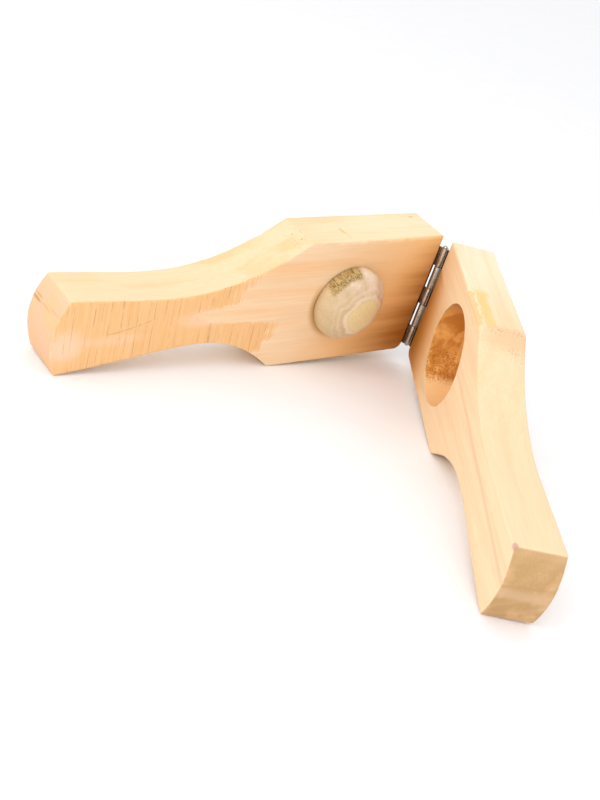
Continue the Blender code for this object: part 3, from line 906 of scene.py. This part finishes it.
hingeLeaf = {
    "shares": (0.181, 0.219, 0.171, 0.229, 0.2),  # of the barrel, from the top
    "joint": 0.0003,
    "barrel": 0.00175,
    "strip": 0.0007,
    "face": (0.0016, 0.0024),
    "cut": 0.003,
    "jog": 0.0022,
    "rollEnd": 48,
    "rollSteps": 30,
    "rounding": 0.00009,
    "overlap": 0.00006,
    "jogSteps": 6,
    "knobSide": {"tongueFrom": 0.0018, "knuckles": (0, 2, 4)},
    "cupSide": {"tongueFrom": 0.0010, "knuckles": (1, 3)},
    # colours, and how strongly each shows
    "steelColour": (0.44, 0.41, 0.34),
    "stainColour": (0.17, 0.14, 0.07),
    "paleColour": (0.58, 0.56, 0.51),
    # painted shade in the corner beside the barrel
    "seamShadeColour": (0.07, 0.04, 0.015),
    "seamShade": 0.85,
    "stains": 0.4,
    "rough": (0.2, 0.34),
}


def rollProfile():
    # the strip's outline: in from the plate, a step in to the barrel, and round the pin to its own seam
    outer = [(hingeLeaf["face"][1], hingeLeaf["cut"] + hingeLeaf["overlap"])]
    for step in range(hingeLeaf["jogSteps"] + 1):
        share = 1 - step / hingeLeaf["jogSteps"]
        rise = hingeLeaf["face"][1] - hingeLeaf["barrel"]
        outer.append((hingeLeaf["barrel"] + rise * ease(share, 0, 1), hingeLeaf["jog"] * share))
    sweep = math.radians(360 - hingeLeaf["rollEnd"])
    for step in range(1, hingeLeaf["rollSteps"] + 1):
        angle = -sweep * step / hingeLeaf["rollSteps"]
        outer.append((hingeLeaf["barrel"] * math.cos(angle), hingeLeaf["barrel"] * math.sin(angle)))
    inner = []
    for number, here in enumerate(outer):
        before, after = outer[max(0, number - 1)], outer[min(len(outer) - 1, number + 1)]
        along = (Vector(after) - Vector(before)).normalized()
        inner.append((here[0] + along.y * hingeLeaf["strip"], here[1] - along.x * hingeLeaf["strip"]))
    return outer + inner[::-1]


def roundEdges(bm, edges):
    bmesh.ops.bevel(
        bm,
        geom=edges,
        affect="EDGES",
        offset=hingeLeaf["rounding"],
        segments=2,
        profile=0.5,
        material=-1,
        clamp_overlap=True,
    )


def addBar(bm, outline, side, low, high):
    # a closed bar up the hinge axis, with its end rims rounded
    bar = bmesh.new()
    face = bar.faces.new([bar.verts.new((x, side * y, low)) for x, y in outline])
    raised = bmesh.ops.extrude_face_region(bar, geom=[face])["geom"]
    lifted = [item for item in raised if isinstance(item, bmesh.types.BMVert)]
    bmesh.ops.translate(bar, verts=lifted, vec=(0, 0, high - low))
    bmesh.ops.recalc_face_normals(bar, faces=bar.faces)
    roundEdges(bar, [edge for edge in bar.edges if abs(edge.verts[0].co.z - edge.verts[1].co.z) < 1e-7])
    mesh = bpy.data.meshes.new("bar")
    bar.to_mesh(mesh)
    bar.free()
    bm.from_mesh(mesh)
    bpy.data.meshes.remove(mesh)


def buildLeaf(name, node, place, side, body, values, material):
    # the plate with its countersinks, then a rolled knuckle or a cut-back edge at each share of the barrel
    bm = plainCopy(node, place)
    heights = [vert.co.z for vert in bm.verts]
    bmesh.ops.bisect_plane(
        bm,
        geom=bm.verts[:] + bm.edges[:] + bm.faces[:],
        dist=1e-6,
        plane_co=(0, side * hingeLeaf["cut"], 0),
        plane_no=(0, side, 0),
        clear_inner=True,
    )
    bmesh.ops.holes_fill(bm, edges=[edge for edge in bm.edges if edge.is_boundary])
    bm.normal_update()
    sharp = [edge for edge in bm.edges if edge.is_manifold and edge.calc_face_angle() > math.radians(40)]
    roundEdges(bm, [edge for edge in sharp if abs(edge.verts[0].co.y) > hingeLeaf["cut"] + 1e-5])
    near, far = hingeLeaf["face"]
    start, seam = values["tongueFrom"], hingeLeaf["cut"] + hingeLeaf["overlap"]
    tongue = [(near, start), (far, start), (far, seam), (near, seam)]
    top, length = max(heights), max(heights) - min(heights)
    last = len(hingeLeaf["shares"]) - 1
    half = hingeLeaf["joint"] / 2
    for number, share in enumerate(hingeLeaf["shares"]):
        bottom = top - share * length
        lift = half if number < last else 0
        drop = half if number > 0 else 0
        if number in values["knuckles"]:
            addBar(bm, rollProfile(), side, bottom + lift, top - drop)
        else:
            addBar(bm, tongue, side, bottom - lift, top + drop)
        top = bottom
    return finishPiece(name, bm, place, body, [node], material, 30)


def dressNodes(names, material):
    for name in names:
        slots = frame["nodes"][name].data.materials
        slots.clear()
        slots.append(material)


buildKnobArm(knobArmMaterial())
print("knob arm built")
buildCupArm(cupArmMaterial())
print("cup arm built")
buildKnob(knobMaterial())
print("knob turned")
hingeSteel = steelMaterial("hingeSteel", hingeLeaf)
screwSteel = steelMaterial("screwSteel", screws)
knobSide, cupSide = hingeLeaf["knobSide"], hingeLeaf["cupSide"]
buildLeaf("knobSideLeaf", "hinge_leaf_knob_side", knobPlace, -1, "knob_side", knobSide, hingeSteel)
buildLeaf("cupSideLeaf", "hinge_leaf_cup_side", cupPlace, 1, "cup_side", cupSide, hingeSteel)
dressNodes(["hinge_pin"], hingeSteel)
dressNodes([name for name in frame["nodes"] if "_screw" in name], screwSteel)
print("hinge and screws finished")


# Studio

studio = {
    "floorSize": 24.0,
    "floorDrop": 0.00005,
    "floorColour": (0.935, 0.936, 0.966),
    "skyStrength": 1.0,
    "keyPlace": (-0.28, -1.05, 1.1),
    "keyAim": (0.0, 0.0, 0.03),
    "keySize": 0.9,
    "keyPower": 8.2,
    "cameraPlace": (0.10117, -0.46186, 0.24112),
    "cameraTurn": (61.265, -18.980, 24.735),
    "cameraLens": 51.09,
}


def buildFloor():
    bm = bmesh.new()
    drop = Matrix.Translation((0, 0, -studio["floorDrop"]))
    bmesh.ops.create_grid(bm, x_segments=8, y_segments=8, size=studio["floorSize"] / 2, matrix=drop)
    mesh = bpy.data.meshes.new("floor")
    bm.to_mesh(mesh)
    bm.free()
    made, tree, shader = newMaterial("floorPaint")
    coordinates = addNode(tree, "ShaderNodeTexCoord").outputs["Object"]
    speckle = fade(tree, cloud(tree, coordinates, 40.0, 3.0), 0.3, 0.7, 0.985, 1.0)
    tree.links.new(darkened(tree, studio["floorColour"], speckle), shader.inputs["Base Color"])
    shader.inputs["Roughness"].default_value = 0.8
    mesh.materials.append(made)
    floor = bpy.data.objects.new("floor", mesh)
    bpy.context.scene.collection.objects.link(floor)


def buildLights():
    world = bpy.data.worlds.new("studioSky")
    world.use_nodes = True
    sky = world.node_tree.nodes["Background"]
    sky.inputs["Color"].default_value = (1.0, 1.0, 1.0, 1.0)
    sky.inputs["Strength"].default_value = studio["skyStrength"]
    bpy.context.scene.world = world
    light = bpy.data.lights.new("softbox", "AREA")
    light.shape = "SQUARE"
    light.size = studio["keySize"]
    light.energy = studio["keyPower"]
    softbox = bpy.data.objects.new("softbox", light)
    bpy.context.scene.collection.objects.link(softbox)
    softbox.location = studio["keyPlace"]
    toObject = Vector(studio["keyAim"]) - Vector(studio["keyPlace"])
    softbox.rotation_euler = toObject.to_track_quat("-Z", "Y").to_euler()


def buildCamera():
    data = bpy.data.cameras.new("camera")
    data.lens = studio["cameraLens"]
    data.sensor_width = 36.0
    data.clip_start = 0.01
    camera = bpy.data.objects.new("camera", data)
    bpy.context.scene.collection.objects.link(camera)
    camera.location = studio["cameraPlace"]
    camera.rotation_euler = [math.radians(angle) for angle in studio["cameraTurn"]]
    bpy.context.scene.camera = camera


buildFloor()
buildLights()
buildCamera()
bpy.context.scene.view_settings.view_transform = "Standard"
print("studio ready")
